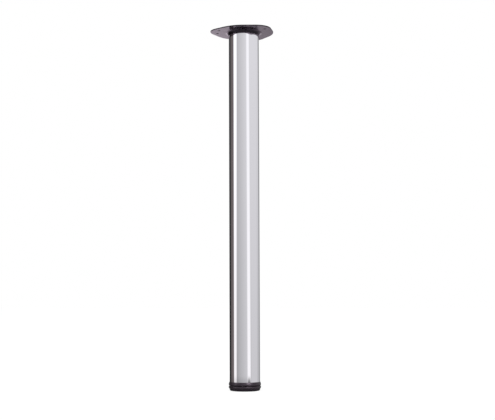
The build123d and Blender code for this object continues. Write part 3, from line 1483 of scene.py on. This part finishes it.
@dataclass(frozen=True)
class PhotoCamera:
    """The camera, where the photograph was taken from.

    Its lens and sensor are in millimetres.
    """

    azimuth: float = 20.6
    distance: float = 2.0655
    height: float = 0.1836
    pitch: float = 4.676
    yaw: float = 0.174
    roll: float = -0.204
    lens: float = 76.31
    sensor_width: float = 36.0
    farthest: float = 60.0

    @property
    def towards(self) -> Vector:
        """The level direction from the leg to the camera."""
        turn = math.radians(self.azimuth)
        return Vector((math.sin(turn), -math.cos(turn), 0))

    @property
    def rightwards(self) -> Vector:
        """The level direction to the right of the picture."""
        turn = math.radians(self.azimuth)
        return Vector((math.cos(turn), math.sin(turn), 0))

    def build(self) -> None:
        """Makes the camera and gives it to the scene."""
        up = Vector((0, 0, 1))
        yaw, pitch, roll = (math.radians(angle) for angle in (self.yaw, self.pitch, self.roll))
        level = self.rightwards * math.sin(yaw) - self.towards * math.cos(yaw)
        right = self.rightwards * math.cos(yaw) + self.towards * math.sin(yaw)
        ahead = level * math.cos(pitch) + up * math.sin(pitch)
        top = up * math.cos(pitch) - level * math.sin(pitch)
        side = right * math.cos(roll) + top * math.sin(roll)
        head = top * math.cos(roll) - right * math.sin(roll)
        turned = Matrix((side, head, -ahead)).transposed()
        data = bpy.data.cameras.new("photo_camera")
        data.lens = self.lens
        data.sensor_width = self.sensor_width
        data.clip_end = self.farthest
        camera = bpy.data.objects.new("photo_camera", data)
        place = self.towards * self.distance + up * self.height
        camera.matrix_world = Matrix.Translation(place) @ turned.to_4x4()
        bpy.context.scene.collection.objects.link(camera)
        bpy.context.scene.camera = camera
        log.info("camera: %.2f m away", self.distance)


@dataclass(frozen=True)
class Lamp:
    """One square lamp that faces the leg and lights matt faces only.

    Its place is given in metres towards the camera, to the picture's right and up.
    """

    name: str
    towards: float
    rightwards: float
    height: float
    power: float
    size: float = 1.2
    aim: float = 0.35

    def build(self, camera: PhotoCamera) -> None:
        """Hangs the lamp, at its place from the camera's point of view.

        Args:
            camera: The camera that its place is counted from.
        """
        data = bpy.data.lights.new(self.name, "AREA")
        data.size = self.size
        data.energy = self.power
        lamp = bpy.data.objects.new(self.name, data)
        foot = camera.towards * self.towards + camera.rightwards * self.rightwards
        lamp.location = (foot.x, foot.y, self.height)
        aim = Vector((0, 0, self.aim)) - Vector(lamp.location)
        lamp.rotation_euler = aim.to_track_quat("-Z", "Y").to_euler()
        lamp.visible_glossy = False
        bpy.context.scene.collection.objects.link(lamp)
        log.info("%s: %.0f W", self.name, self.power)


@dataclass(frozen=True)
class Band:
    """One upright band of the studio, between two angles from the camera's side."""

    start: float
    end: float
    first: float
    last: float
    tint: Color = (1, 1, 1)


BROWNISH = (1.15, 1.0, 0.98)
WARM = (1.02, 1.0, 0.98)
FAINTLY_WARM = (1.01, 1.0, 0.99)
FRONT_BANDS = (
    Band(-120, -91, 0.12, 0.15, BROWNISH),
    Band(-84, -66, 1.1, 0.96, WARM),
    Band(-61, -53, 0.38, 0.41),
    Band(-48, 19, 0.46, 0.66),
    Band(21.5, 42.5, 1.04, 1.06, FAINTLY_WARM),
)


@dataclass(frozen=True)
class Studio:
    """The white room round the leg, with the screens that the chrome mirrors.

    The bands stand at four heights, which run into each other. A height is the sine of the
    angle that something is seen at, above or below the level.
    """

    camera: PhotoCamera
    lamps: tuple[Lamp, ...] = (
        Lamp("key_lamp", towards=1.6, rightwards=-1.4, height=1.9, power=16.0),
        Lamp("fill_lamp", towards=1.0, rightwards=1.8, height=1.5, power=8.0),
    )
    plain: float = 0.72
    top_bands: tuple[Band, ...] = (
        Band(-180, -174, 1.0, 1.0),
        Band(-170, -146, 0.10, 0.07),
        Band(-142, -126, 0.04, 0.05),
        Band(-118, -89, 0.13, 0.14, BROWNISH),
        Band(-82, -60, 1.22, 1.22),
        Band(-55, -52, 0.52, 0.54),
        Band(-48, 15, 0.56, 0.74),
        Band(21, 36, 1.0, 1.06),
        Band(40, 104, 0.77, 0.77),
        Band(110, 133, 0.75, 0.76),
        Band(138, 158, 0.24, 0.27),
        Band(164, 180, 0.5, 0.5),
    )
    bands: tuple[Band, ...] = (
        Band(-180, -165, 1.4, 1.4),
        Band(-161, -146, 0.06, 0.03),
        Band(-142, -126, 0.01, 0.02),
        *FRONT_BANDS,
        Band(45.5, 50, 0.58, 0.60),
        Band(54, 104, 0.65, 0.64),
        Band(110, 128, 0.54, 0.51),
        Band(134, 157, 0.33, 0.33),
        Band(163, 180, 0.9, 0.9),
    )
    low_bands: tuple[Band, ...] = (
        Band(-180, -174, 1.14, 1.14),
        Band(-166, -152, 1.5, 1.5),
        Band(-142, -126, 0.03, 0.03),
        *FRONT_BANDS,
        Band(46, 104, 0.64, 0.64),
        Band(110, 126, 0.58, 0.58),
        Band(142, 180, 0.65, 0.65),
    )
    high_bands: tuple[Band, ...] = (
        Band(-180, -90, 0.7, 0.6),
        Band(-84, -60, 2.4, 2.4),
        Band(-52, 12, 0.6, 0.8),
        Band(18, 42, 8.0, 8.0),
        Band(50, 180, 0.8, 0.7),
    )
    ceiling: float = 0.8
    floor_glow: float = 0.93
    top_heights: Pair = (-0.08, 0.225)
    low_heights: Pair = (-0.085, -0.2)
    high_heights: Pair = (0.28, 0.45)
    ceiling_heights: Pair = (0.9, 0.98)
    floor_heights: Pair = (-0.5, -0.75)
    floor_size: float = 24.0
    floor_gap: float = 0.0002
    floor_color: Color = (0.86, 0.86, 0.87)
    floor_light: float = 1.1
    floor_share: float = 0.8
    # Painted shade that only shiny faces see on the floor: a dark glow near the foot, a fainter
    # one to the front-left, and a darker painted streak in that.
    shade_level: float = 0.05
    near_shade: float = 0.9
    near_reach: Pair = (0.03, 0.1)
    far_shade: float = 0.23
    far_reach: Pair = (0.24, 0.46)
    far_turn: Pair = (37.0, 44.0)
    painted_streak_shade: float = 0.82
    painted_streak_turn: Pair = (18.0, 25.0)

    def build(self) -> None:
        """Builds the world, the lamps and the floor, and shows colours as they are written."""
        bpy.context.scene.view_settings.view_transform = "Standard"
        self.world()
        for lamp in self.lamps:
            lamp.build(self.camera)
        self.floor()

    @staticmethod
    def screens(nodes: Nodes, bands: Iterable[Band], round_room: Value) -> Socket:
        """Makes a ramp of bands.

        Args:
            nodes: The world's nodes.
            bands: The bands, in order.
            round_room: The place round the room, from 0 to 1.

        Returns:
            The bands' colour.
        """
        stops = [
            ((angle + 180) / 360, tuple(level * share for share in band.tint))
            for band in bands
            for angle, level in ((band.start, band.first), (band.end, band.last))
        ]
        return nodes.out("ShaderNodeValToRGB", {0: round_room}, stops=stops)

    def world(self) -> None:
        """Makes the room: white to the camera, plain to matt faces, banded to shiny ones."""
        world = bpy.data.worlds.new("white_room")
        bpy.context.scene.world = world
        world.use_nodes = True
        nodes = Nodes(world.node_tree)
        way = nodes.add("ShaderNodeTexCoord").outputs["Generated"]
        height = self.along(nodes, way, Vector((0, 0, 1)))
        round_room = self.bearing(nodes, way) / (2 * math.pi) + 0.5
        sets = (self.bands, self.top_bands, self.low_bands, self.high_bands)
        wall, top, low, high = (self.screens(nodes, bands, round_room) for bands in sets)
        lit = nodes.mix(height.ramp(*self.top_heights), wall, top)
        lit = nodes.mix(height.between(*self.low_heights), lit, low)
        lit = nodes.mix(height.between(*self.high_heights), lit, high)
        lit = nodes.mix(height.between(*self.ceiling_heights), lit, self.ceiling)
        lit = nodes.mix(height.between(*self.floor_heights), lit, self.floor_glow)
        rays = nodes.add("ShaderNodeLightPath").outputs
        lit = nodes.mix(rays["Is Glossy Ray"], self.plain, lit)
        lit = nodes.mix(rays["Is Camera Ray"], lit, 1.0)
        background = nodes.out("ShaderNodeBackground", {"Color": lit})
        nodes.add("ShaderNodeOutputWorld", {"Surface": background})
        log.info("room: %d bands at four heights", sum(len(bands) for bands in sets))

    @staticmethod
    def along(nodes: Nodes, way: Socket, axis: Vector) -> Value:
        """Measures how far a direction goes along an axis."""
        return nodes.value(nodes.vector("DOT_PRODUCT", way, tuple(axis)).outputs["Value"])

    def bearing(self, nodes: Nodes, way: Socket) -> Value:
        """Measures a direction's angle from the camera's side, rightwards, in radians."""
        across = self.along(nodes, way, self.camera.rightwards)
        return across.math("ARCTAN2", self.along(nodes, way, self.camera.towards))

    def floor(self) -> None:
        """Lays the floor. It goes down with the foot when that is screwed out."""
        half, low = self.floor_size / 2, -self.floor_gap
        mesh = bpy.data.meshes.new("studio_floor")
        corners = [(-half, -half, low), (half, -half, low), (half, half, low), (-half, half, low)]
        mesh.from_pydata(corners, [], [(0, 1, 2, 3)])
        mesh.materials.append(self.floor_material())
        floor = bpy.data.objects.new("studio_floor", mesh)
        bpy.context.scene.collection.objects.link(floor)
        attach(floor, Body.FOOT.value)
        log.info("floor: %.0f m wide on %s", self.floor_size, Body.FOOT.value)

    def floor_material(self) -> bpy.types.Material:
        """Makes the pale floor, white to the camera but for the leg's shadow.

        Shiny faces look through it to the room, apart from painted shade: a dark glow near its
        foot and to the front-left that only they see.

        Returns:
            A material that can be looked through from below.
        """
        material = bpy.data.materials.new("studio_floor")
        material.use_nodes = True
        nodes = Nodes(material.node_tree)
        matt = nodes.out("ShaderNodeBsdfDiffuse", {"Color": (*self.floor_color, 1)})
        glow = nodes.out("ShaderNodeEmission", {"Strength": self.floor_light})
        clear = nodes.out("ShaderNodeBsdfTransparent")
        shade = nodes.out("ShaderNodeEmission", {"Strength": self.shade_level})
        point = nodes.add("ShaderNodeNewGeometry").outputs
        rays = nodes.add("ShaderNodeLightPath").outputs
        seen = nodes.value(rays["Is Camera Ray"]) * self.floor_share
        shown = nodes.mix_shaders(seen, matt, glow)
        # Painted shade: shiny faces see a dark glow here instead of the room, standing in for
        # shadow near the leg.
        painted_shade_amount = self.painted_shade_share(nodes, point["Position"])
        mirrored = nodes.mix_shaders(painted_shade_amount, clear, shade)
        above = nodes.mix_shaders(rays["Is Glossy Ray"], shown, mirrored)
        sides = nodes.mix_shaders(point["Backfacing"], above, clear)
        nodes.add("ShaderNodeOutputMaterial", {"Surface": sides})
        return material

    def painted_shade_share(self, nodes: Nodes, place: Socket) -> Value:
        """Works out how much painted shade shiny faces see on the floor, a dark glow that stands
        in for shadow.

        Args:
            nodes: The floor material's nodes.
            place: The point of the floor.

        Returns:
            The share, which falls off with the distance from the leg.
        """
        reach = nodes.reach(place)
        turn = self.bearing(nodes, place) * math.degrees(1)
        near = reach.between(*reversed(self.near_reach)) * self.near_shade
        # Painted streak: a darker band of the painted shade to the front-left, which the chrome
        # mirrors as a dark streak at the tube's foot.
        painted_streak = turn.between(*self.painted_streak_turn) * (self.painted_streak_shade - self.far_shade)
        far = reach.between(*reversed(self.far_reach)) * (painted_streak + self.far_shade)
        return near.at_least(far * turn.between(*reversed(self.far_turn)))


def main() -> None:
    """Builds the leg's pieces in order, and then the studio."""
    logging.basicConfig(level=logging.INFO, format="%(name)s %(message)s")
    paints = Paints()
    shop = Workshop(paints)
    for piece in (MountingPlate(), Tube(), CentreBolt(), FootSocket(), Foot(), FootStud()):
        piece.build(shop)
    KeptSolids().dress(paints)
    camera = PhotoCamera()
    camera.build()
    Studio(camera).build()


if __name__ == "__main__":
    main()
